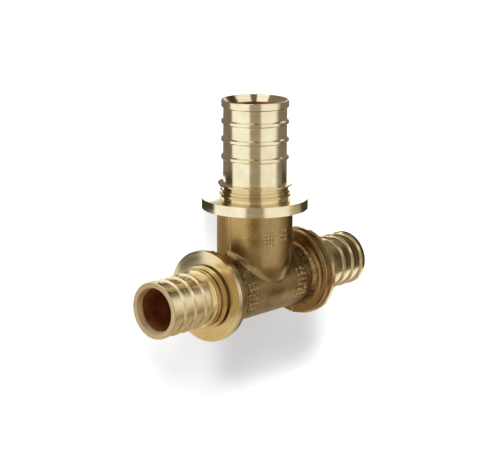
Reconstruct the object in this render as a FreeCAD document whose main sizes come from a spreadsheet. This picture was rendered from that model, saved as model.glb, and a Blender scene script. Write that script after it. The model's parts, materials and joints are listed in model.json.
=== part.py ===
import FreeCAD, Part
import os
import Sketcher

# Reducing tee for plastic pipe that is held by press-on sleeves.
# One brass forging with a straight run along X and a larger branch square to it.
# The body is drawn with its branch up, then laid down on its three collars.

# Driving dimensions in millimetres, counts and shares, each with what it measures
SIZES = (
    ("run_reach", 24.95, "branch axis to the outer face of a run collar"),
    ("run_spigot", 24.4, "length of a run spigot beyond its collar"),
    ("run_crest_dia", 18.9, "run spigot over its barbs"),
    ("run_tube_dia", 17.7, "run spigot between its barbs"),
    ("run_seat_dia", 18.3, "run spigot beside its collar"),
    ("run_bore_dia", 14.4, "water way through the run"),
    ("run_mouth_dia", 15.4, "water way at a run mouth"),
    ("run_land", 2.0, "plain band at a run mouth"),
    ("run_barb_start", 5.95, "run mouth to the middle of the first barb"),
    ("run_barb_pitch", 4.9, "spacing of the run barbs"),
    ("run_collar_dia", 30.6, "machined rim of a run collar"),
    ("run_rim", 1.5, "length of the machined rim of a run collar"),
    ("run_flange_dia", 29.4, "forged flange behind the machined rim"),
    ("run_flange", 3.2, "length of the forged flange"),
    ("run_stop_at", 4.5, "run collar face to the middle of its stop ring"),
    ("run_stop_dia", 19.3, "stop ring of the run"),
    ("run_guide_at", 3.15, "run collar face to the middle of its guide ring"),
    ("run_guide_dia", 19.5, "guide ring of the run"),
    ("run_root_at", 1.6, "run collar face to the middle of its root ring"),
    ("run_root_dia", 21.3, "root ring of the run"),
    ("run_root", 1.5, "length of the run root ring"),
    ("barrel_dia", 21.8, "forged barrel between the run collars"),
    ("branch_reach", 29.75, "run axis to the outer face of the branch collar"),
    ("branch_spigot", 33.25, "length of the branch spigot beyond its collar"),
    ("branch_crest_dia", 22.8, "branch spigot over its barbs"),
    ("branch_tube_dia", 21.5, "branch spigot between its barbs"),
    ("branch_seat_dia", 22.4, "branch spigot beside its collar"),
    ("branch_bore_dia", 18.0, "water way in the branch"),
    ("branch_mouth_dia", 21.7, "water way at the branch mouth"),
    ("branch_land", 2.6, "plain band at the branch mouth"),
    ("branch_barb_start", 7.25, "branch mouth to the middle of the first barb"),
    ("branch_barb_pitch", 6.0, "spacing of the branch barbs"),
    ("branch_collar_dia", 35.8, "branch collar"),
    ("branch_collar", 3.45, "length of the branch collar"),
    ("branch_stop_at", 4.8, "branch collar face to the middle of its stop ring"),
    ("branch_stop_dia", 25.1, "stop ring of the branch"),
    ("branch_guide_at", 2.5, "branch collar face to the middle of its guide ring"),
    ("branch_guide_dia", 23.4, "guide ring of the branch"),
    ("branch_root_at", 1.3, "branch collar face to the middle of its root ring"),
    ("branch_root_dia", 24.1, "root ring of the branch"),
    ("branch_root", 0.8, "length of the branch root ring"),
    ("neck_dia", 25.6, "forged neck below the branch collar"),
    ("dome_height", 9.6, "run axis to the middle of the round end of the neck"),
    ("barb_foot", 1.7, "length of a barb at its foot"),
    ("barb_flank", 0.4, "length of the slope on each side of a barb"),
    ("barb_count", 3, "barbs on each spigot"),
    ("stop_foot", 0.9, "length of a stop ring at its foot"),
    ("stop_flank", 0.25, "length of the slope on each side of a stop ring"),
    ("guide", 0.7, "length of a guide ring"),
    ("lip", 0.15, "outer chamfer at each mouth"),
    ("lead_in", 2.2, "depth of the taper in each mouth"),
    ("neck_blend", 2.9, "fillet between the neck and the barrel"),
    ("flange_blend", 2.8, "fillet between the barrel and a forged flange"),
    ("flange_edge", 0.75, "bevel of the back edge of a forged flange"),
    ("neck_share", 0.4, "most of the barrel beside the neck that the neck fillet takes"),
    ("flange_share", 0.55, "most of the barrel beside the neck that a flange fillet takes"),
    ("wall_share", 0.75, "most of the flange height that its fillet takes"),
    ("edge_share", 0.2, "most of the flange height that its bevel takes"),
    ("ring_root", 0.6, "depth to which a ring is drawn into its tube"),
    ("drill_slope", 0.6, "height over radius of the cone that ends the branch bore"),
    ("bore_overrun", 1.0, "length by which a bore is cut past its mouth"),
)

NODE = "tee_body"
NEAR = 1e-3
FULL_TURN = 360
UPRIGHT = 90
SEAM_PROBES = 5

# Places along the axes of the run and of the branch
RUN_MOUTH = "(sizes.run_reach + sizes.run_spigot)"
RIM_BACK = "(sizes.run_reach - sizes.run_rim)"
FLANGE_BACK = "(sizes.run_reach - sizes.run_rim - sizes.run_flange)"
BRANCH_MOUTH = "(sizes.branch_reach + sizes.branch_spigot)"
COLLAR_BACK = "(sizes.branch_reach - sizes.branch_collar)"


def radius(name):
    """Expression for half of a diameter in the sheet."""
    return f"(sizes.{name}_dia / 2)"


def make_sheet(doc):
    """Write the driving dimensions into a spreadsheet with one alias each."""
    sheet = doc.addObject("Spreadsheet::Sheet", "sizes")
    for row, (name, size, meaning) in enumerate(SIZES, start=1):
        sheet.set(f"A{row}", name)
        sheet.set(f"B{row}", str(size))
        sheet.set(f"C{row}", meaning)
        sheet.setAlias(f"B{row}", name)
    doc.recompute()


def origin_part(body, role):
    """Origin plane or axis of the body by its role."""
    return next(item for item in body.Origin.OriginFeatures if item.Role == role)


def measure(item, expression):
    """Number that an expression gives now."""
    found = item.evalExpression(expression)
    return float(getattr(found, "Value", found))


def pin_corner(sketch, corner, side, expression):
    """Hold one coordinate of a corner on the axis or at a size from the sheet."""
    axis = {"DistanceX": -2, "DistanceY": -1}[side]
    if expression == "0":
        sketch.addConstraint(Sketcher.Constraint("PointOnObject", corner, 1, axis))
        return
    place = measure(sketch, expression)
    number = sketch.addConstraint(Sketcher.Constraint(side, -1, 1, corner, 1, place))
    name = f"corner_{corner}_{side[-1].lower()}"
    sketch.renameConstraint(number, name)
    sketch.setExpression(f"Constraints.{name}", expression)


def new_sketch(body, name):
    """Empty sketch on the plane that holds both axes."""
    sketch = body.newObject("Sketcher::SketchObject", name)
    sketch.AttachmentSupport = [(origin_part(body, "XZ_Plane"), "")]
    sketch.MapMode = "FlatFace"
    return sketch


def outline(body, name, spin, corners, dome=None):
    """Closed half section. Each corner is a place along the axis and a radius.

    The side that starts at the corner numbered by dome is a quarter round
    about a point on the axis, tangent to the side after it.
    """
    sketch = new_sketch(body, name)
    if spin == "V_Axis":
        corners = [(out, along) for along, out in corners]
    spots = [FreeCAD.Vector(measure(sketch, x), measure(sketch, y), 0) for x, y in corners]
    count = len(corners)
    for here, spot in enumerate(spots):
        following = spots[(here + 1) % count]
        if here == dome:
            middle = FreeCAD.Vector(spot.x, following.y, 0)
            circle = Part.Circle(middle, FreeCAD.Vector(0, 0, 1), following.x - spot.x)
            quarter = Part.ArcOfCircle(circle, circle.parameter(spot), circle.parameter(following))
            sketch.addGeometry(quarter, False)
        else:
            sketch.addGeometry(Part.LineSegment(spot, following), False)
    for here in range(count):
        after = (here + 1) % count
        kind = "Tangent" if here == dome else "Coincident"
        sketch.addConstraint(Sketcher.Constraint(kind, here, 2, after, 1))
    for here, (x, y) in enumerate(corners):
        pin_corner(sketch, here, "DistanceX", x)
        pin_corner(sketch, here, "DistanceY", y)
    return sketch


def turn(body, kind, name, spin, corners, dome=None):
    """Revolved solid or cut from a half section, about the run or the branch."""
    sketch = outline(body, f"{name}_section", spin, corners, dome)
    feature = body.newObject(f"PartDesign::{kind}", name)
    feature.Profile = sketch
    feature.ReferenceAxis = (sketch, [spin])
    feature.Angle = FULL_TURN
    sketch.Visibility = False
    body.Document.recompute()
    return feature


def sloped_ring(body, name, spin, middle, kind, arm, crest):
    """Ring with sloped sides around the tube of a spigot."""
    tube = radius(f"{arm}_tube")
    low = f"{middle} - sizes.{kind}_foot / 2"
    high = f"{middle} + sizes.{kind}_foot / 2"
    return turn(body, "Revolution", name, spin, (
        (low, f"{tube} - sizes.ring_root"),
        (low, tube),
        (f"{low} + sizes.{kind}_flank", radius(crest)),
        (f"{high} - sizes.{kind}_flank", radius(crest)),
        (high, tube),
        (high, f"{tube} - sizes.ring_root"),
    ))


def square_ring(body, name, spin, middle, length, arm, crest):
    """Ring with square sides around the seat of a spigot."""
    under = f"{radius(f'{arm}_seat')} - sizes.ring_root"
    low = f"{middle} - sizes.{length} / 2"
    high = f"{middle} + sizes.{length} / 2"
    return turn(body, "Revolution", name, spin, (
        (low, under),
        (low, radius(crest)),
        (high, radius(crest)),
        (high, under),
    ))


def land(body, spin, mouth, arm):
    """Plain band that ends a spigot, chamfered at the mouth."""
    back = f"{mouth} - sizes.{arm}_land"
    tube = radius(f"{arm}_tube")
    crest = radius(f"{arm}_crest")
    return turn(body, "Revolution", f"{arm}_mouth_land", spin, (
        (back, f"{tube} - sizes.ring_root"),
        (back, tube),
        (f"{back} + sizes.barb_flank", crest),
        (f"{mouth} - sizes.lip", crest),
        (mouth, f"{crest} - sizes.lip"),
        (mouth, f"{tube} - sizes.ring_root"),
    ))


def barbs(body, spin, axis, mouth, arm):
    """First barb and its copies towards the collar."""
    middle = f"{mouth} - sizes.{arm}_barb_start"
    first = sloped_ring(body, f"{arm}_barb", spin, middle, "barb", arm, f"{arm}_crest")
    row = body.newObject("PartDesign::LinearPattern", f"{arm}_barbs")
    row.Originals = [first]
    row.Direction = (origin_part(body, axis), [""])
    row.Reversed = True
    row.Mode = "Spacing"
    row.setExpression("Offset", f"sizes.{arm}_barb_pitch")
    row.setExpression("Occurrences", "sizes.barb_count")
    body.Tip = row
    body.Document.recompute()
    return row


def seat_rings(body, spin, arm):
    """Stop, guide and root rings between the last barb and the collar."""
    face = f"sizes.{arm}_reach"
    stop, guide, root = (f"{face} + sizes.{arm}_{kind}_at" for kind in ("stop", "guide", "root"))
    sloped_ring(body, f"{arm}_stop_ring", spin, stop, "stop", arm, f"{arm}_stop")
    square_ring(body, f"{arm}_guide_ring", spin, guide, "guide", arm, f"{arm}_guide")
    square_ring(body, f"{arm}_root_ring", spin, root, f"{arm}_root", arm, f"{arm}_root")


def spigot(body, spin, axis, mouth, arm):
    """Land, barbs and seat rings of one spigot."""
    land(body, spin, mouth, arm)
    barbs(body, spin, axis, mouth, arm)
    seat_rings(body, spin, arm)


def circles_at(feature, place, size):
    """Names of the circular edges around the run with a place along it and a radius."""
    names = []
    for number, edge in enumerate(feature.Shape.Edges, start=1):
        if not isinstance(edge.Curve, Part.Circle):
            continue
        middle = edge.Curve.Center
        off_axis = abs(middle.y) + abs(middle.z)
        if max(abs(abs(middle.x) - place), abs(edge.Curve.Radius - size), off_axis) < NEAR:
            names.append(f"Edge{number}")
    return names


def dress(body, kind, name, edges, size):
    """Fillet or chamfer on edges of the body as it stands."""
    base = body.Tip
    if not edges:
        raise RuntimeError(f"{name} found no edges")
    feature = body.newObject(f"PartDesign::{kind}", name)
    feature.Base = (base, edges)
    feature.setExpression("Radius" if kind == "Fillet" else "Size", size)
    body.Document.recompute()
    return feature


def neck_seam(body):
    """Names of the edges where the neck and its round end meet the barrel."""
    barrel = measure(body, radius("barrel"))
    neck = measure(body, radius("neck"))
    dome = measure(body, "sizes.dome_height")

    def on_seam(spot):
        below = min(spot.z - dome, 0)
        off_neck = abs((spot.x ** 2 + spot.y ** 2 + below ** 2) ** 0.5 - neck)
        off_barrel = abs((spot.y ** 2 + spot.z ** 2) ** 0.5 - barrel)
        return max(off_neck, off_barrel) < NEAR

    names = []
    for number, edge in enumerate(body.Tip.Shape.Edges, start=1):
        if all(on_seam(spot) for spot in edge.discretize(SEAM_PROBES)):
            names.append(f"Edge{number}")
    return names


def run_half(body):
    """Barrel, flange, collar and bare spigot on one side of the branch."""
    seat_end = "sizes.run_reach + sizes.run_stop_at"
    turn(body, "Revolution", "run_side", "H_Axis", (
        ("0", "0"),
        ("0", radius("barrel")),
        (FLANGE_BACK, radius("barrel")),
        (FLANGE_BACK, radius("run_flange")),
        (RIM_BACK, radius("run_flange")),
        (RIM_BACK, radius("run_collar")),
        ("sizes.run_reach", radius("run_collar")),
        ("sizes.run_reach", radius("run_seat")),
        (seat_end, radius("run_seat")),
        (seat_end, radius("run_tube")),
        (RUN_MOUTH, radius("run_tube")),
        (RUN_MOUTH, "0"),
    ))
    spigot(body, "H_Axis", "X_Axis", RUN_MOUTH, "run")


def other_half(body):
    """The same side again, mirrored across the branch."""
    mirror = body.newObject("PartDesign::Mirrored", "run_both_sides")
    mirror.TransformMode = "Whole shape"
    mirror.MirrorPlane = (origin_part(body, "YZ_Plane"), [""])
    body.Tip = mirror
    body.Document.recompute()


def branch(body):
    """Neck with a round lower end, collar and bare spigot of the branch."""
    seat_end = "sizes.branch_reach + sizes.branch_stop_at"
    turn(body, "Revolution", "branch_core", "V_Axis", (
        (f"sizes.dome_height - {radius('neck')}", "0"),
        ("sizes.dome_height", radius("neck")),
        (COLLAR_BACK, radius("neck")),
        (COLLAR_BACK, radius("branch_collar")),
        ("sizes.branch_reach", radius("branch_collar")),
        ("sizes.branch_reach", radius("branch_seat")),
        (seat_end, radius("branch_seat")),
        (seat_end, radius("branch_tube")),
        (BRANCH_MOUTH, radius("branch_tube")),
        (BRANCH_MOUTH, "0"),
    ), dome=0)


def forged_blends(body):
    """Fillets and bevels of the forging, each limited by the wall it lies on."""
    beside_neck = f"({FLANGE_BACK} - {radius('neck')})"
    wall = f"({radius('run_flange')} - {radius('barrel')})"
    back = measure(body, FLANGE_BACK)
    dress(body, "Fillet", "neck_fillet", neck_seam(body),
          f"min(sizes.neck_blend; sizes.neck_share * {beside_neck})")
    foot = circles_at(body.Tip, back, measure(body, radius("barrel")))
    dress(body, "Fillet", "flange_fillet", foot,
          f"min(sizes.flange_blend; sizes.flange_share * {beside_neck}; sizes.wall_share * {wall})")
    edge = circles_at(body.Tip, back, measure(body, radius("run_flange")))
    dress(body, "Chamfer", "flange_bevel", edge,
          f"min(sizes.flange_edge; sizes.edge_share * {wall})")


def bores(body):
    """Water ways of the run and the branch, tapered at their mouths."""
    run_taper = f"({RUN_MOUTH} - sizes.lead_in)"
    run_end = f"({RUN_MOUTH} + sizes.bore_overrun)"
    turn(body, "Groove", "run_bore", "H_Axis", (
        (f"-{run_end}", "0"),
        (f"-{run_end}", radius("run_mouth")),
        (f"-{RUN_MOUTH}", radius("run_mouth")),
        (f"-{run_taper}", radius("run_bore")),
        (run_taper, radius("run_bore")),
        (RUN_MOUTH, radius("run_mouth")),
        (run_end, radius("run_mouth")),
        (run_end, "0"),
    ))
    branch_end = f"{BRANCH_MOUTH} + sizes.bore_overrun"
    turn(body, "Groove", "branch_bore", "V_Axis", (
        (f"-{radius('branch_bore')} * sizes.drill_slope", "0"),
        ("0", radius("branch_bore")),
        (f"{BRANCH_MOUTH} - sizes.lead_in", radius("branch_bore")),
        (BRANCH_MOUTH, radius("branch_mouth")),
        (branch_end, radius("branch_mouth")),
        (branch_end, "0"),
    ))


def lay_down(body):
    """Tip the branch over to +Y until all three collars touch one level."""
    rim = f"{radius('branch_collar')}^2 + {COLLAR_BACK}^2"
    lift = f"acos({radius('run_collar')} / sqrt({rim})) - atan({COLLAR_BACK} / {radius('branch_collar')})"
    turned = FreeCAD.Rotation(FreeCAD.Vector(1, 0, 0), measure(body, lift) - UPRIGHT)
    body.Placement = FreeCAD.Placement(FreeCAD.Vector(0, 0, 0), turned)


def make_tee(doc):
    """The whole tee as one body."""
    body = doc.addObject("PartDesign::Body", NODE)
    body.Label = NODE
    run_half(body)
    other_half(body)
    branch(body)
    forged_blends(body)
    spigot(body, "V_Axis", "Z_Axis", BRANCH_MOUTH, "branch")
    bores(body)
    lay_down(body)
    doc.recompute()
    return body


def check_document(doc):
    """Stop if an object of the document failed to compute."""
    for item in doc.Objects:
        if "Invalid" in item.State or "Error" in item.State:
            raise RuntimeError(f"{item.Name} failed: {item.State}")


def check_solid(body):
    """Stop unless the piece is one valid solid."""
    shape = body.Shape
    if shape.isNull() or not shape.isValid() or len(shape.Solids) != 1:
        raise RuntimeError(f"{body.Label} is not one valid solid")


def main():
    doc = FreeCAD.newDocument("pex_sleeve_tee")
    make_sheet(doc)
    body = make_tee(doc)
    check_document(doc)
    check_solid(body)
    os.makedirs("parts", exist_ok=True)
    body.Shape.exportStep(f"parts/{body.Label}.step")
    print(f"{body.Label}: {body.Shape.Volume:.1f} mm3, {len(body.Shape.Faces)} faces")


main()
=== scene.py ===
import json
import math

import bmesh
import bpy
from mathutils import Matrix, Vector, noise


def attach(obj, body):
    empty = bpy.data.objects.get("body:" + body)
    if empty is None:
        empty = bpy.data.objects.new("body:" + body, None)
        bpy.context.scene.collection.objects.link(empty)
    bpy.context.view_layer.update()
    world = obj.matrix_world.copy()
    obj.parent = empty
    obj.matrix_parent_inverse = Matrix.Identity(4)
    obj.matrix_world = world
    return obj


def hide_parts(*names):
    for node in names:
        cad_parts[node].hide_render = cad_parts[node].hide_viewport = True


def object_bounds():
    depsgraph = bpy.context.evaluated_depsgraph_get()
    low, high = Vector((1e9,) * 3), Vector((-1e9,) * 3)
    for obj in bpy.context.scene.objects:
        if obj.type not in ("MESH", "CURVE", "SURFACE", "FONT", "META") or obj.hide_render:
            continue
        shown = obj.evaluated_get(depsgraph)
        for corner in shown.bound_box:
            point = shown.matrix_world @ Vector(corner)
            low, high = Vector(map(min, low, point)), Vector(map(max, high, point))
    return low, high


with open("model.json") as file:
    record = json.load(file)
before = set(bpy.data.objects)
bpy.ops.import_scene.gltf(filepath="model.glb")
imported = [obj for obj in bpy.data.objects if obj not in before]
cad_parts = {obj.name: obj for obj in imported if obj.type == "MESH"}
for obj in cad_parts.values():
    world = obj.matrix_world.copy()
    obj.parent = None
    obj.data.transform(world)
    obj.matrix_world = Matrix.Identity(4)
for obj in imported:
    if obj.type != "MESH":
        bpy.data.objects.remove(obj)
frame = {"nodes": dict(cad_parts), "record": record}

cad_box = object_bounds()

# One millimetre in metres, and the node of the CAD model that the tee replaces
MM = 0.001
NODE = "tee_body"

# Axes of the tee, read from its mounts
MOUNTS = {mount["name"]: mount for mount in frame["record"]["mounts"]}
RUN_AXIS = Vector(MOUNTS["run_bore"]["axis"])
BRANCH_AXIS = Vector(MOUNTS["branch_bore"]["axis"]).normalized()
RUN_BORE = MOUNTS["run_bore"]["dims"]["r_mm"] * MM
BRANCH_BORE = MOUNTS["branch_bore"]["dims"]["r_mm"] * MM
FLOOR_LEVEL = cad_box[0].z
UPPER = RUN_AXIS.cross(BRANCH_AXIS)

# Where the turned surfaces begin, along the run and along the branch
RUN_TURNED = 23.4 * MM
BRANCH_TURNED = 26.2 * MM

# Radius of each water way at its mouth, and the slack with which lengths are compared
RUN_MOUTH = 7.7 * MM
BRANCH_MOUTH = 10.85 * MM
BORE_MARGIN = 0.05 * MM

# How much a face has to point at an axis to count as the wall of a water way
INWARD = 0.3

# Each arm with its axis, bore and mouth radius and the start of its turned surface
ARMS = (("run", RUN_AXIS, RUN_BORE, RUN_MOUTH, RUN_TURNED),
        ("branch", BRANCH_AXIS, BRANCH_BORE, BRANCH_MOUTH, BRANCH_TURNED))

# Darker and lighter tone of the turned brass on each arm; the branch copy is paler than the run as a painted
# highlight, for its washed-out bright stripes
TURNED_TONES = {"run": ((0.84, 0.69, 0.41, 1.0), (0.93, 0.80, 0.52, 1.0)),
                "branch": ((0.84, 0.74, 0.49, 1.0), (0.93, 0.86, 0.63, 1.0))}

# Painted shade by each collar, where the pipe stops: from and to along each arm in mm, with the share of the
# darker tone there
COLLAR_SHADE_BANDS = {"run": (25.4, 28.8, 0.25), "branch": (30.3, 34.6, 0.75)}
# Width of the edge of that painted shade, and its darker tone
COLLAR_SHADE_EDGE = 0.8
COLLAR_SHADE_TONE = (0.66, 0.49, 0.23, 1.0)

# Roughness and tones of the tapers at the mouths
MOUTH_LOOKS = {"run": (0.6, (0.92, 0.68, 0.39, 1.0), (1.0, 0.80, 0.50, 1.0)),
               "branch": (0.14, (0.84, 0.71, 0.45, 1.0), (0.94, 0.85, 0.60, 1.0))}

# Darker and lighter tone of the water ways, darkened and reddened as painted shade inside them, of the
# forging and of trimmed metal
BORE_SHADED_TONES = ((0.38, 0.135, 0.05, 1.0), (0.76, 0.37, 0.16, 1.0))
FORGED_TONES = ((0.25, 0.185, 0.08, 1.0), (0.48, 0.355, 0.16, 1.0))
TRIMMED_TONES = ((0.42, 0.31, 0.155, 1.0), (0.66, 0.51, 0.285, 1.0))

# Lines of a turning tool: their spacing, and how much they change round the axis
FINE_LINES = (0.16 * MM, 0.4)
BROAD_LINES = (0.9 * MM, 0.7)
MOUTH_LINES = (0.5 * MM, 0.7)
BORE_LINES = (0.45 * MM, 1.2)

# Strength of the shine that such lines stretch, and its direction in full turns
TURNED_SHINE = 0.55
MOUTH_SHINE = 0.6
BORE_SHINE = 0.5
SHINE_TURN = 0.25

# Roughness, least and most or the same all over
TURNED_ROUGH = (0.15, 0.24)
FORGED_ROUGH = (0.24, 0.36)
BORE_ROUGH = 0.55
TRIMMED_ROUGH = 0.3

# Depth of the relief of each surface
TURNED_RELIEF = 0.006 * MM
MOUTH_RELIEF = 0.008 * MM
BORE_RELIEF = 0.02 * MM
FORGED_RELIEF = 0.06 * MM
TRIMMED_RELIEF = 0.03 * MM

# Fineness of each noise
TURNED_CLOUD = 190.0
BORE_CLOUD = 240.0
FORGED_CLOUD = 110.0
WARM_TINT_CLOUD = 60.0
GRAIN = 1700.0
DENTS = 380.0
SPECKLED_SHADE_SCALE = 700.0
SCRATCHES = 2600.0

# Stretch of a noise over which one tone or roughness passes into the other
TONE_RANGE = (0.35, 0.65)
BORE_RANGE = (0.38, 0.62)
FORGED_RANGE = (0.36, 0.64)
WARM_TINT_RANGE = (0.3, 0.55)
SPECKLED_SHADE_RANGE = (0.38, 0.62)
ROUGH_RANGE = (0.3, 0.7)

# Shares of two noises in a tone, and of the finer noise in a relief
TURNED_MIX = (0.6, 0.4)
BORE_MIX = (0.5, 0.5)
FORGED_MIX = (0.75, 0.25)
FINE_SHARE = 0.5
GRAIN_SHARE = 0.42

# Warm patches of the forging, at random and growing towards the rear as a painted warm reflection of the
# turned brass: where they grow along the run in metres, and their least and most share
WARM_TINT_AND_REFLECTION = (0.40, 0.22, 0.082, 1.0)
WARM_REFLECTION_ALONG = (0.008, 0.022)
WARM_TINT_LEAST = 0.3
WARM_TINT_MOST = 0.85

# Painted highlight, golden, on one side of the neck: where it fades along the run and along Y in metres, and
# its share
NECK_HIGHLIGHT_TONE = (0.66, 0.43, 0.15, 1.0)
NECK_HIGHLIGHT_ALONG = (-0.0115, -0.006)
NECK_HIGHLIGHT_AHEAD = (0.011, 0.015)
NECK_HIGHLIGHT_SHARE = 0.42

# Painted shade in dark specks on the barrel between the neck and the flanges: where it grows along the run,
# and where it ends off its axis, in metres
SPECKLED_SHADE_TONE = (0.14, 0.095, 0.045, 1.0)
SPECKLED_SHADE_ALONG = (0.006, 0.016)
SPECKLED_SHADE_OUT = (0.0113, 0.0125)

# Radius of the forged surfaces that carry the raised marks
BARREL = 10.9 * MM
NECK = 12.8 * MM

# Raised marks: size, share of the foot that the top takes, and shares of their spacing that they fill
MARK_HEIGHT = 0.28 * MM
MARK_SINK = 0.1 * MM
MARK_TOP = 0.6
MARK_LENGTH = 0.74
MARK_WIDTH = 0.7

# Unevenness of the marks: its share, and where the noise is read for each row and column
MARK_SWAY = 0.32
MARK_ROW_STEP = 1.7
MARK_COLUMN_STEP = 2.3
MARK_START = 0.4
MARK_SPREADS = (1.0, 1.9)

# Trimmed ridge on the plane of both axes
RIDGE_FOOT = 0.42 * MM
RIDGE_TOP = 0.2 * MM
RIDGE_HEIGHT = 0.14 * MM
RIDGE_SINK = 0.08 * MM

# Unevenness of the ridge: its length, and its share of the height and of the width
RIDGE_WAVE = 1.3 * MM
RIDGE_HEIGHT_SWAY = 0.35
RIDGE_WIDTH_SWAY = 0.5

# Merging of points that meet and of faces that lie level
WELD = 0.001 * MM
FLAT_ANGLE = math.radians(0.3)

# Rounding of the edges that are sharper than an angle
SHARP_ANGLE = math.radians(30)
TURNED_ROUND = 0.07 * MM
FORGED_ROUND = 0.3 * MM
ROUND_STEPS = 2
ROUND_PROFILE = 0.5

# Floor: half its width in metres, its grey, and the light it adds for the camera near the shadow and, as
# painted light that wipes the shadow, beyond
FLOOR_REACH = 4.0
FLOOR_SHADE = 0.55
FLOOR_SEEN = 0.51
FLOOR_BEYOND = 0.25

# Where the shadow is kept, in mm: from, to and width of the edge, along X and along Y
SHADOW_ACROSS = (-4, 48, 28)
SHADOW_AHEAD = (-39, 6, 16)

# Light of the world on dull surfaces, and the key lamp: its brightness, then place and size in mm
WORLD_LIGHT = 0.2
KEY_LEVEL = 15.0
KEY_PLACE = (-1550, 3550, 1880)
KEY_WIDTH = 4000
KEY_HEIGHT = 2400

# Tones that the metal mirrors, times their gain
MIRROR_GAIN = 1.07
PALE = (1.0, 1.0, 1.0, 1.0)
SOFT = (0.93, 0.92, 0.91, 1.0)
GOLDEN = (0.45, 0.385, 0.275, 1.0)
BROWN = (0.34, 0.28, 0.225, 1.0)
UMBER = (0.20, 0.175, 0.145, 1.0)
SHADE = (0.13, 0.11, 0.075, 1.0)
DARK = (0.055, 0.042, 0.027, 1.0)

# Stripes of the mirrored sky, in degrees round the branch, and how far they lean as they rise
STRIPE_EDGE = 3
STRIPE_LEAN = 0.3
OVERHEAD = (57, 120)
BEHIND_CAMERA = (120, 159.5)
LEFT = (159.5, -130)
RIGHT = (38, 57)

# Changes of the mirrored sky, in degrees of rise towards the branch
RIGHT_RISE = (-30, 22)
LEFT_GAP = (24, 56)
LEFT_GAP_EDGE = 12
HIGH_RISE = (25, 50)
LOW_RISE = (-38, -22)
LOWEST_RISE = (-60, -46)

# Painted shadow and painted light on the floor as the metal mirrors it, in patches in mm: from and to in X,
# from and to in Y, width of the edge, then the tone
MIRRORED_FLOOR_SHADE_AND_LIGHT = (
    (-130, 2000, -2000, -30, 12, (0.46, 0.385, 0.275, 1.0)),
    (-420, -118, -2000, -90, 12, (0.46, 0.385, 0.275, 1.0)),
    (-27, 30, 24, 125, 5, UMBER),
    (-27, 30, 24, 37, 5, DARK),
    (-27, 45, -45, 24, 6, (0.42, 0.36, 0.27, 1.0)),
    (-41, -29, 5, 16, 4, (0.17, 0.17, 0.14, 1.0)),
    (-62, -27, -27, -11, 3, (0.62, 0.51, 0.32, 1.0)),
    (-79, -53, -18, 9, 3, (0.50, 0.45, 0.40, 1.0)),
    (-8.5, 4.5, 30, 36, 1.5, (1.4, 1.4, 1.4, 1.0)),
    (36, 62, 33, 50, 4, (1.4, 1.4, 1.4, 1.0)),
)

# Cards right of the tee: distance in X, from and to in Y, from and to in Z, in mm
SHADE_CARD = (65, (-14, 92), (-24, 92))
LOW_CARD = (130, (-110, -60), (-15, 60))

# Where the tone of the first card changes, in mm along Y and along Z
SHADE_AHEAD = (22, 30)
WARM_AHEAD = (4, 12)
SHADE_LEVEL = (37, 47)

# Camera: its lens, what it looks at, and the direction and distance back to it
IMAGE_WIDTH = 500
FOCAL_PIXELS = 1864.1
SENSOR = 36.0
CAMERA_TARGET = Vector((-1.07, 20.05, 0.71)) * MM
CAMERA_HEADING = math.radians(167.791)
CAMERA_ELEVATION = math.radians(41.189)
CAMERA_ROLL = math.radians(94.158)
CAMERA_DISTANCE = 630.16 * MM


def new_object(name, mesh):
    """Object in the scene for a mesh."""
    piece = bpy.data.objects.new(name, mesh)
    bpy.context.scene.collection.objects.link(piece)
    return piece


def off_axis(spot, axis):
    """Part of a place that is square to an axis through the origin."""
    return spot - axis * spot.dot(axis)


class Graph:
    """Short way to write the nodes of one material or of the world."""

    def __init__(self, owner):
        owner.use_nodes = True
        self.tree = owner.node_tree
        self.tree.nodes.clear()

    def node(self, kind, values=(), **settings):
        """Node with its settings, and its inputs set or linked."""
        made = self.tree.nodes.new(f"ShaderNode{kind}")
        for name, setting in settings.items():
            setattr(made, name, setting)
        for key, value in dict(values).items():
            self.feed(made.inputs[key], value)
        return made

    def feed(self, socket, value):
        """Link a socket, or set it to a plain value."""
        if isinstance(value, bpy.types.NodeSocket):
            self.tree.links.new(value, socket)
        else:
            socket.default_value = value

    def math(self, operation, *values):
        """Result of a Math node."""
        return self.node("Math", dict(enumerate(values)), operation=operation).outputs[0]

    def mixed(self, one, other, shares):
        """Sum of two values, each times its share."""
        parts = [self.math("MULTIPLY", value, share) for value, share in zip((one, other), shares)]
        return self.math("ADD", *parts)

    def vector(self, operation, *values, output=0):
        """Result of a Vector Math node."""
        made = self.node("VectorMath", dict(enumerate(values)), operation=operation)
        return made.outputs[output]

    def fade(self, value, low, high, start=0.0, end=1.0):
        """Value carried smoothly from one range to another."""
        made = self.node("MapRange", {0: value, 1: low, 2: high, 3: start, 4: end})
        made.interpolation_type = "SMOOTHSTEP"
        return made.outputs[0]

    def band(self, value, low, high, edge):
        """One inside a range of a value and zero outside it, with soft edges."""
        rise = self.fade(value, low - edge / 2, low + edge / 2)
        fall = self.fade(value, high - edge / 2, high + edge / 2, 1.0, 0.0)
        return self.math("MULTIPLY", rise, fall)

    def blend(self, share, one, other):
        """Mix of two colours."""
        made = self.node("Mix", {0: share, 6: one, 7: other}, data_type="RGBA")
        return made.outputs[2]

    def noise(self, where, scale, detail=2.0, rough=0.5, **settings):
        """Grey value of a Noise texture."""
        values = {"Vector": where, "Scale": scale, "Detail": detail, "Roughness": rough}
        return self.node("TexNoise", values, **settings).outputs[0]

    def place(self):
        """Place on the object, in metres."""
        return self.node("TexCoord").outputs["Object"]


def grey(level):
    """Grey of a level from 0 to 1, with full cover."""
    return (level, level, level, 1.0)


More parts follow.
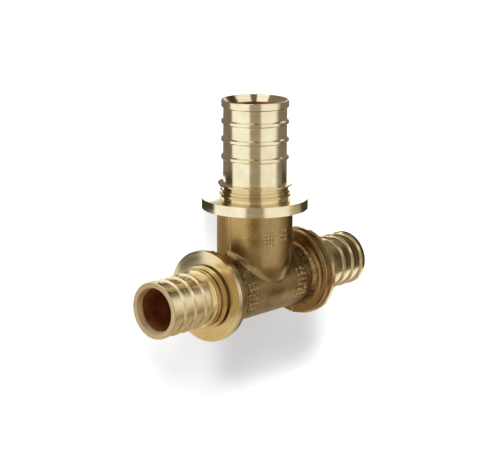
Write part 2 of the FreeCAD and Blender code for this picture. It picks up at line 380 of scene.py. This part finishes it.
def around_axis(graph, axis):
    """Distance along an axis, distance from it, direction from it and direction round it."""
    spot = graph.place()
    along = graph.vector("DOT_PRODUCT", spot, tuple(axis), output=1)
    on_axis = graph.node("VectorMath", {0: tuple(axis), 3: along}, operation="SCALE").outputs[0]
    out = graph.vector("SUBTRACT", spot, on_axis)
    reach = graph.vector("LENGTH", out, output=1)
    outward = graph.vector("NORMALIZE", out)
    rounding = graph.vector("CROSS_PRODUCT", tuple(axis), outward)
    return along, reach, outward, rounding


def turning_lines(graph, along, reach, outward, pitch, sway):
    """Fine lines that a turning tool leaves round an axis."""
    swing = graph.node("VectorMath", {0: outward, 3: sway}, operation="SCALE").outputs[0]
    parts = graph.node("SeparateXYZ", {0: swing})
    depth = graph.math("DIVIDE", reach, pitch)
    step = graph.math("DIVIDE", along, pitch)
    sum_xy = graph.math("ADD", parts.outputs[0], parts.outputs[1])
    where = graph.node("CombineXYZ", {0: step, 1: depth, 2: sum_xy}).outputs[0]
    return graph.noise(where, 1.0, detail=3.0, rough=0.6)


def brushed(rounding, strength):
    """Inputs of a shader whose shine is stretched by lines round an axis."""
    return {"Anisotropic": strength, "Anisotropic Rotation": SHINE_TURN, "Tangent": rounding}


def end_metal(graph, base, rough, height, relief, shine):
    """Metal shader with a relief, and the output of its material."""
    bump = graph.node("Bump", {"Strength": 1.0, "Distance": relief, "Height": height})
    shader = graph.node("BsdfPrincipled", {
        "Base Color": base, "Metallic": 1.0, "Roughness": rough, "Normal": bump.outputs[0], **shine,
    })
    graph.node("OutputMaterial", {0: shader.outputs[0]})


def turned_brass(name, axis, deep, pale, collar_shade):
    """Bright brass with turning lines round an axis, darkened by painted shade next to the collar where a
    pipe stops.
    """
    material = bpy.data.materials.new(name)
    graph = Graph(material)
    along, reach, outward, rounding = around_axis(graph, axis)
    fine = turning_lines(graph, along, reach, outward, *FINE_LINES)
    broad = turning_lines(graph, along, reach, outward, *BROAD_LINES)
    cloud = graph.noise(graph.place(), TURNED_CLOUD, detail=3.0)
    base = graph.blend(graph.fade(graph.mixed(cloud, broad, TURNED_MIX), *TONE_RANGE), deep, pale)
    # Painted shade: the turned brass darkens in a band next to the collar
    shade_from, shade_to, share = collar_shade
    length = graph.math("DIVIDE", graph.math("ABSOLUTE", along), MM)
    painted_shade = graph.band(length, shade_from, shade_to, COLLAR_SHADE_EDGE)
    base = graph.blend(graph.math("MULTIPLY", painted_shade, share), base, COLLAR_SHADE_TONE)
    rough = graph.fade(broad, *ROUGH_RANGE, *TURNED_ROUGH)
    lines = graph.math("ADD", graph.math("MULTIPLY", fine, FINE_SHARE), broad)
    end_metal(graph, base, rough, lines, TURNED_RELIEF, brushed(rounding, TURNED_SHINE))
    return material


def mouth_brass(name, axis, rough, deep, pale):
    """Bright brass of a taper, cut with coarse lines that spread its shine along the axis."""
    material = bpy.data.materials.new(name)
    graph = Graph(material)
    along, reach, outward, rounding = around_axis(graph, axis)
    broad = turning_lines(graph, along, reach, outward, *MOUTH_LINES)
    base = graph.blend(graph.fade(broad, *TONE_RANGE), deep, pale)
    end_metal(graph, base, rough, broad, MOUTH_RELIEF, brushed(rounding, MOUTH_SHINE))
    return material


def bore_brass(name, axis):
    """Brass of a drilled water way, its tone darkened and reddened as painted shade, with marks round its
    axis.
    """
    material = bpy.data.materials.new(name)
    graph = Graph(material)
    along, reach, outward, rounding = around_axis(graph, axis)
    marks = turning_lines(graph, along, reach, outward, *BORE_LINES)
    cloud = graph.noise(graph.place(), BORE_CLOUD, detail=4.0)
    # Painted shade: dark, red tones for the inside of the water way
    base = graph.blend(graph.fade(graph.mixed(cloud, marks, BORE_MIX), *BORE_RANGE), *BORE_SHADED_TONES)
    end_metal(graph, base, BORE_ROUGH, marks, BORE_RELIEF, brushed(rounding, BORE_SHINE))
    return material


def forged_brass():
    """Dull brown brass with the grain and the uneven colour of a forging, with painted light: a warm
    reflection growing towards the rear, a highlight on one side of the neck and shade in specks on the
    barrel.
    """
    material = bpy.data.materials.new("forged_brass")
    graph = Graph(material)
    spot = graph.place()
    parts = graph.node("SeparateXYZ", {0: spot})
    run, ahead, level = [parts.outputs[number] for number in range(3)]
    cloud = graph.noise(spot, FORGED_CLOUD, detail=4.0, rough=0.55)
    patch = graph.noise(spot, WARM_TINT_CLOUD, detail=2.0)
    grain = graph.noise(spot, GRAIN, detail=3.0, rough=0.65)
    dents = graph.noise(spot, DENTS, detail=2.0)
    tone = graph.mixed(cloud, grain, FORGED_MIX)
    shade = graph.blend(graph.fade(tone, *FORGED_RANGE), *FORGED_TONES)
    # Painted warm reflection: the warm patches grow towards the rear flange
    tint_and_rear_reflection = graph.math("ADD", graph.fade(run, *WARM_REFLECTION_ALONG), WARM_TINT_LEAST)
    tint_and_reflection = graph.math("MULTIPLY", graph.fade(patch, *WARM_TINT_RANGE), tint_and_rear_reflection)
    tinted_and_lit = graph.blend(graph.math("MINIMUM", tint_and_reflection, WARM_TINT_MOST), shade, WARM_TINT_AND_REFLECTION)
    # Painted highlight on one side of the neck
    neck_highlight = graph.math("MULTIPLY", graph.fade(run, *NECK_HIGHLIGHT_ALONG, NECK_HIGHLIGHT_SHARE, 0.0),
                       graph.fade(ahead, *NECK_HIGHLIGHT_AHEAD))
    tinted_and_lit = graph.blend(neck_highlight, tinted_and_lit, NECK_HIGHLIGHT_TONE)
    square = graph.node("CombineXYZ", {1: ahead, 2: level}).outputs[0]
    out = graph.vector("LENGTH", square, output=1)
    # Painted shade in mottled specks on the barrel, between the neck and each flange
    between_parts = graph.math("MULTIPLY", graph.fade(graph.math("ABSOLUTE", run), *SPECKLED_SHADE_ALONG),
                        graph.fade(out, *SPECKLED_SHADE_OUT, 1.0, 0.0))
    speckled_shade = graph.fade(graph.noise(spot, SPECKLED_SHADE_SCALE, detail=4.0, rough=0.7), *SPECKLED_SHADE_RANGE)
    base = graph.blend(graph.math("MULTIPLY", between_parts, speckled_shade), tinted_and_lit, SPECKLED_SHADE_TONE)
    rough = graph.fade(cloud, *ROUGH_RANGE, *FORGED_ROUGH)
    height = graph.math("ADD", graph.math("MULTIPLY", grain, GRAIN_SHARE), dents)
    end_metal(graph, base, rough, height, FORGED_RELIEF, {})
    return material


def trimmed_brass():
    """Paler, scratched brass where flash was trimmed and raised marks are rubbed."""
    material = bpy.data.materials.new("trimmed_brass")
    graph = Graph(material)
    scratch = graph.noise(graph.place(), SCRATCHES, detail=2.0)
    base = graph.blend(graph.fade(scratch, *TONE_RANGE), *TRIMMED_TONES)
    end_metal(graph, base, TRIMMED_ROUGH, scratch, TRIMMED_RELIEF, {})
    return material


def finishes():
    """Materials of the tee, by the name of the region that wears them."""
    made = {"forged": forged_brass()}
    for arm, axis, _, _, _ in ARMS:
        made[f"{arm}_turned"] = turned_brass(f"{arm}_turned", axis, *TURNED_TONES[arm], COLLAR_SHADE_BANDS[arm])
        made[f"{arm}_mouth"] = mouth_brass(f"{arm}_mouth", axis, *MOUTH_LOOKS[arm])
        made[f"{arm}_bore"] = bore_brass(f"{arm}_bore", axis)
    return made


def region(face):
    """Name of the finish of a face, from where it lies."""
    spots = [corner.co for corner in face.verts]
    for arm, axis, bore, mouth, _ in ARMS:
        out = max(off_axis(spot, axis).length for spot in spots) - BORE_MARGIN
        inward = face.normal.dot(off_axis(spots[0], axis).normalized()) < -INWARD
        if inward and out < mouth:
            return f"{arm}_bore" if out < bore else f"{arm}_mouth"
    if min(abs(spot.dot(RUN_AXIS)) for spot in spots) > RUN_TURNED:
        return "run_turned"
    if min(spot.dot(BRANCH_AXIS) for spot in spots) > BRANCH_TURNED:
        return "branch_turned"
    return "forged"


def cad_mesh():
    """Copy of the CAD mesh with its seams welded."""
    mesh = bmesh.new()
    mesh.from_mesh(frame["nodes"][NODE].data)
    bmesh.ops.remove_doubles(mesh, verts=mesh.verts, dist=WELD)
    return mesh


def tee_metal():
    """The tee with flat stretches merged, edges rounded and a finish for each region."""
    made = finishes()
    names = list(made)
    mesh = cad_mesh()
    bmesh.ops.dissolve_limit(mesh, angle_limit=FLAT_ANGLE, verts=mesh.verts, edges=mesh.edges)
    mesh.normal_update()
    for face in mesh.faces:
        face.material_index = names.index(region(face))
    forged_number = names.index("forged")
    sharp = [edge for edge in mesh.edges if edge.calc_face_angle(0) > SHARP_ANGLE]
    forged = {edge for edge in sharp if all(face.material_index == forged_number for face in edge.link_faces)}
    turned = [edge for edge in sharp if edge not in forged]
    for edges, size in ((turned, TURNED_ROUND), (forged, FORGED_ROUND)):
        bmesh.ops.bevel(mesh, geom=[edge for edge in edges if edge.is_valid], offset=size,
                        segments=ROUND_STEPS, profile=ROUND_PROFILE, affect="EDGES", clamp_overlap=True)
    mesh.normal_update()
    for face in mesh.faces:
        face.smooth = True
        face.material_index = names.index(region(face))
    data = bpy.data.meshes.new("tee_metal")
    mesh.to_mesh(data)
    mesh.free()
    for material in made.values():
        data.materials.append(material)
    piece = new_object("tee_metal", data)
    weighted = piece.modifiers.new("even_normals", "WEIGHTED_NORMAL")
    weighted.keep_sharp = False
    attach(piece, "root")
    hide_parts(NODE)


def on_forging(spot):
    """Whether a place on the plane of both axes is outside and forged."""
    along = spot.dot(RUN_AXIS)
    up = spot.dot(BRANCH_AXIS)
    outside = abs(along) > NECK - BORE_MARGIN or up < -RUN_MOUTH
    return outside and abs(along) < RUN_TURNED and up < BRANCH_TURNED and abs(up) > RUN_MOUTH


def paths(edges):
    """Edges joined end to end into open rows of vertices."""
    links = {}
    for edge in edges:
        one, other = edge.verts
        links.setdefault(one, []).append(other)
        links.setdefault(other, []).append(one)
    rows = []
    used = set()
    for start in [vert for vert, ends in links.items() if len(ends) == 1]:
        row = [] if start in used else [start]
        while row:
            used.add(row[-1])
            following = [vert for vert in links[row[-1]] if vert not in used]
            if not following:
                rows.append(row)
                break
            row.append(following[0])
    return rows


def parting_ridge(metal):
    """Thin ridge where the halves of the die met, cut from the section of the tee itself."""
    section = cad_mesh()
    everything = section.verts[:] + section.edges[:] + section.faces[:]
    cut = bmesh.ops.bisect_plane(section, geom=everything, plane_co=(0, 0, 0), plane_no=UPPER)["geom_cut"]
    section.normal_update()
    edges = [item for item in cut if isinstance(item, bmesh.types.BMEdge)
             and on_forging((item.verts[0].co + item.verts[1].co) / 2)]
    ridge = bmesh.new()
    for row in paths(edges):
        rings = []
        for vert in row:
            outward = off_axis(vert.normal, UPPER).normalized()
            sway = noise.noise(vert.co / RIDGE_WAVE)
            top = RIDGE_HEIGHT * (1 + RIDGE_HEIGHT_SWAY * sway)
            half = RIDGE_TOP * (1 + RIDGE_WIDTH_SWAY * sway)
            sides = ((-RIDGE_FOOT, -RIDGE_SINK), (-half, top), (half, top), (RIDGE_FOOT, -RIDGE_SINK))
            rings.append([ridge.verts.new(vert.co + UPPER * aside + outward * rise) for aside, rise in sides])
        for one, other in zip(rings, rings[1:]):
            for here in range(len(one)):
                after = (here + 1) % len(one)
                ridge.faces.new((one[here], other[here], other[after], one[after]))
        ridge.faces.new(rings[0])
        ridge.faces.new(reversed(rings[-1]))
    section.free()
    dressed("parting_ridge", ridge, metal)


def dressed(name, mesh, metal):
    """Small brass piece from a mesh, which rides on the tee."""
    bmesh.ops.recalc_face_normals(mesh, faces=mesh.faces)
    data = bpy.data.meshes.new(name)
    mesh.to_mesh(data)
    mesh.free()
    data.materials.append(metal)
    piece = new_object(name, data)
    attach(piece, "root")


def mark(mesh, place, middle, size):
    """Raised pip with sloped sides. Its place on a round surface comes from a function."""
    floor_ring, top_ring = [], []
    for along, across in ((-1, -1), (1, -1), (1, 1), (-1, 1)):
        for ring, share, rise in ((floor_ring, 1.0, -MARK_SINK), (top_ring, MARK_TOP, MARK_HEIGHT)):
            half = share / 2
            spot = place(middle[0] + along * size[0] * half, middle[1] + across * size[1] * half, rise)
            ring.append(mesh.verts.new(spot))
    mesh.faces.new(top_ring)
    mesh.faces.new(reversed(floor_ring))
    for here in range(4):
        after = (here + 1) % 4
        mesh.faces.new((floor_ring[here], floor_ring[after], top_ring[after], top_ring[here]))


def on_barrel(along, turn, rise):
    """Place on the barrel from a length along the run and an angle from the branch."""
    out = math.cos(turn) * BRANCH_AXIS + math.sin(turn) * UPPER
    return along * RUN_AXIS + (BARREL + rise) * out


def on_neck(along, turn, rise):
    """Place on the neck from a length along the branch and an angle from the run."""
    out = math.cos(turn) * RUN_AXIS + math.sin(turn) * UPPER
    return along * BRANCH_AXIS + (NECK + rise) * out


def raised_marks(metal):
    """Plain raised pips in rows, in place of the marks of the forging die."""
    mesh = bmesh.new()
    # Surface, from and to along it in mm, from and to round it in degrees, rows and columns
    groups = (
        (on_barrel, (-15.2, -10.2), (66, 120), 3, 6),
        (on_barrel, (9.8, 15.0), (62, 118), 3, 6),
        (on_neck, (15.0, 20.4), (107, 126), 4, 4),
        (on_neck, (16.4, 21.0), (84, 99), 3, 3),
    )
    for place, (near, far), (first, last), rows, columns in groups:
        step = (far - near) / rows * MM
        swing = math.radians(last - first) / columns
        for row in range(rows):
            for column in range(columns):
                spot = Vector((row * MARK_ROW_STEP + MARK_START,
                               column * MARK_COLUMN_STEP + MARK_START, near))
                aside, stretch = [MARK_SWAY * noise.noise(spot * share) for share in MARK_SPREADS]
                middle = (near * MM + (row + 0.5 + aside) * step,
                          math.radians(first) + (column + 0.5 + stretch) * swing)
                size = (step * (MARK_LENGTH + stretch), swing * (MARK_WIDTH + aside))
                mark(mesh, place, middle, size)
    dressed("raised_marks", mesh, metal)


def softbox(name, middle, towards, width, height, level):
    """Area lamp whose face has a given brightness."""
    lamp = bpy.data.lights.new(name, "AREA")
    lamp.shape = "RECTANGLE"
    lamp.size = width
    lamp.size_y = height
    lamp.energy = level * math.pi * width * height
    holder = bpy.data.objects.new(name, lamp)
    holder.location = middle
    holder.rotation_euler = (towards - middle).to_track_quat("-Z", "Y").to_euler()
    bpy.context.scene.collection.objects.link(holder)
    return holder


def floor():
    """White floor that keeps the shadow of the tee near the barrel and is lifted by painted light beyond it.
    Metal mirrors it with darker and warmer patches of painted shadow and painted light, some brighter than
    white.
    """
    data = bpy.data.meshes.new("floor")
    sides = ((-1, -1), (1, -1), (1, 1), (-1, 1))
    corners = [(x * FLOOR_REACH, y * FLOOR_REACH, FLOOR_LEVEL) for x, y in sides]
    data.from_pydata(corners, [], [(0, 1, 2, 3)])
    material = bpy.data.materials.new("floor_white")
    graph = Graph(material)
    path = graph.node("LightPath")
    parts = graph.node("SeparateXYZ", {0: graph.place()})
    across, ahead = [graph.math("DIVIDE", parts.outputs[number], MM) for number in (0, 1)]
    # Painted shadow under and around the tee, painted warm light by the front collar and painted glow
    # brighter than white, seen only in reflections
    tone = PALE
    for x_from, x_to, y_from, y_to, edge, patch in MIRRORED_FLOOR_SHADE_AND_LIGHT:
        cover = graph.math("MULTIPLY", graph.band(across, x_from, x_to, edge),
                           graph.band(ahead, y_from, y_to, edge))
        tone = graph.blend(cover, tone, patch)
    seen = graph.math("MAXIMUM", path.outputs["Is Camera Ray"], path.outputs["Is Transmission Ray"])
    diffuse = graph.node("BsdfDiffuse", {"Color": grey(FLOOR_SHADE)})
    # Painted light: beyond this patch the floor is lifted for the camera, wiping the shadow of the tee there
    kept = graph.math("MULTIPLY", graph.band(across, *SHADOW_ACROSS), graph.band(ahead, *SHADOW_AHEAD))
    painted_lift = graph.fade(kept, 0.0, 1.0, FLOOR_SEEN + FLOOR_BEYOND, FLOOR_SEEN)
    light = graph.node("Emission", {"Strength": graph.math("MULTIPLY", seen, painted_lift)})
    both = graph.node("AddShader", {0: diffuse.outputs[0], 1: light.outputs[0]})
    painted_reflection = graph.node("Emission", {"Color": tone, "Strength": MIRROR_GAIN})
    mirrored = path.outputs["Is Glossy Ray"]
    surface = graph.node("MixShader", {0: mirrored, 1: both.outputs[0], 2: painted_reflection.outputs[0]})
    graph.node("OutputMaterial", {0: surface.outputs[0]})
    data.materials.append(material)
    piece = new_object("floor", data)


def side_card(name, place):
    """Upright card right of the tee that only reflections see, with the nodes for its tone."""
    distance, (y_from, y_to), (z_from, z_to) = place
    corners = ((y_from, z_from), (y_to, z_from), (y_to, z_to), (y_from, z_to))
    data = bpy.data.meshes.new(name)
    data.from_pydata([Vector((distance, y, z)) * MM for y, z in corners], [], [(0, 1, 2, 3)])
    sheet = new_object(name, data)
    sheet.visible_camera = False
    sheet.visible_diffuse = False
    sheet.visible_shadow = False
    material = bpy.data.materials.new(name)
    data.materials.append(material)
    graph = Graph(material)
    light = graph.node("Emission", {"Color": PALE, "Strength": MIRROR_GAIN})
    graph.node("OutputMaterial", {0: light.outputs[0]})
    return graph, light


def side_cards():
    """Dark card, darkest low beside the run and warm above it, and a pale one low behind it."""
    graph, light = side_card("shade_card", SHADE_CARD)
    parts = graph.node("SeparateXYZ", {0: graph.place()})
    ahead, level = [graph.math("DIVIDE", parts.outputs[number], MM) for number in (1, 2)]
    above = graph.fade(level, *SHADE_LEVEL)
    tone = graph.blend(graph.math("MAXIMUM", above, graph.fade(ahead, *SHADE_AHEAD)), DARK, UMBER)
    warm = graph.math("MULTIPLY", above, graph.fade(ahead, *WARM_AHEAD, 1.0, 0.0))
    graph.feed(light.inputs["Color"], graph.blend(warm, tone, GOLDEN))
    side_card("low_card", LOW_CARD)


def sky():
    """World that is white to the camera and soft to surfaces. Metal mirrors it as wide stripes."""
    world = bpy.data.worlds.new("studio")
    bpy.context.scene.world = world
    graph = Graph(world)
    path = graph.node("LightPath")
    parts = graph.node("SeparateXYZ", {0: graph.node("TexCoord").outputs["Generated"]})
    turn = graph.math("DEGREES", graph.math("ARCTAN2", parts.outputs[2], parts.outputs[0]))
    rise = graph.math("DEGREES", graph.math("ARCSINE", parts.outputs[1]))
    leaning = graph.math("MULTIPLY_ADD", graph.math("MAXIMUM", rise, 0.0), STRIPE_LEAN, turn)
    left = graph.math("MAXIMUM", graph.fade(leaning, LEFT[0] - STRIPE_EDGE / 2, LEFT[0] + STRIPE_EDGE / 2),
                      graph.fade(turn, LEFT[1] - STRIPE_EDGE / 2, LEFT[1] + STRIPE_EDGE / 2, 1.0, 0.0))
    middle = graph.blend(graph.fade(rise, *HIGH_RISE), BROWN, SHADE)
    tone = graph.blend(graph.band(leaning, *BEHIND_CAMERA, STRIPE_EDGE), DARK, middle)
    tone = graph.blend(graph.band(leaning, *OVERHEAD, STRIPE_EDGE), tone, SOFT)
    gap = graph.blend(graph.band(rise, *LEFT_GAP, LEFT_GAP_EDGE), PALE, GOLDEN)
    tone = graph.blend(left, tone, gap)
    side = graph.blend(graph.fade(rise, *RIGHT_RISE), GOLDEN, SOFT)
    tone = graph.blend(graph.band(turn, *RIGHT, STRIPE_EDGE), tone, side)
    tone = graph.blend(graph.fade(rise, *LOW_RISE, 1.0, 0.0), tone, GOLDEN)
    tone = graph.blend(graph.fade(rise, *LOWEST_RISE, 1.0, 0.0), tone, UMBER)
    mirrored = graph.node("VectorMath", {0: tone, 3: MIRROR_GAIN}, operation="SCALE").outputs[0]
    lit = graph.blend(path.outputs["Is Glossy Ray"], grey(WORLD_LIGHT), mirrored)
    white = graph.math("MAXIMUM", path.outputs["Is Camera Ray"], path.outputs["Is Transmission Ray"])
    light = graph.node("Background", {"Color": graph.blend(white, lit, PALE), "Strength": 1.0})
    graph.node("OutputWorld", {0: light.outputs[0]})


def lights():
    """Soft key lamp above the camera, which the metal does not mirror."""
    place = Vector(KEY_PLACE) * MM
    key = softbox("key", place, Vector((0, 0, 0)), KEY_WIDTH * MM, KEY_HEIGHT * MM, KEY_LEVEL)
    key.visible_glossy = False


def camera():
    """Camera at the angle of the photograph."""
    level = math.cos(CAMERA_ELEVATION)
    back = Vector((level * math.cos(CAMERA_HEADING), level * math.sin(CAMERA_HEADING),
                   math.sin(CAMERA_ELEVATION)))
    flat_right = Vector((0, 0, 1)).cross(back).normalized()
    flat_up = back.cross(flat_right)
    right = math.cos(CAMERA_ROLL) * flat_right + math.sin(CAMERA_ROLL) * flat_up
    above = back.cross(right)
    data = bpy.data.cameras.new("camera")
    data.sensor_width = SENSOR
    data.lens = FOCAL_PIXELS / IMAGE_WIDTH * SENSOR
    holder = bpy.data.objects.new("camera", data)
    turn = Matrix((right, above, back)).transposed().to_4x4()
    holder.matrix_world = Matrix.Translation(CAMERA_TARGET + back * CAMERA_DISTANCE) @ turn
    bpy.context.scene.collection.objects.link(holder)
    bpy.context.scene.camera = holder


def main():
    bpy.context.scene.view_settings.view_transform = "Standard"
    tee_metal()
    rubbed = trimmed_brass()
    parting_ridge(rubbed)
    raised_marks(rubbed)
    floor()
    side_cards()
    sky()
    lights()
    camera()


main()
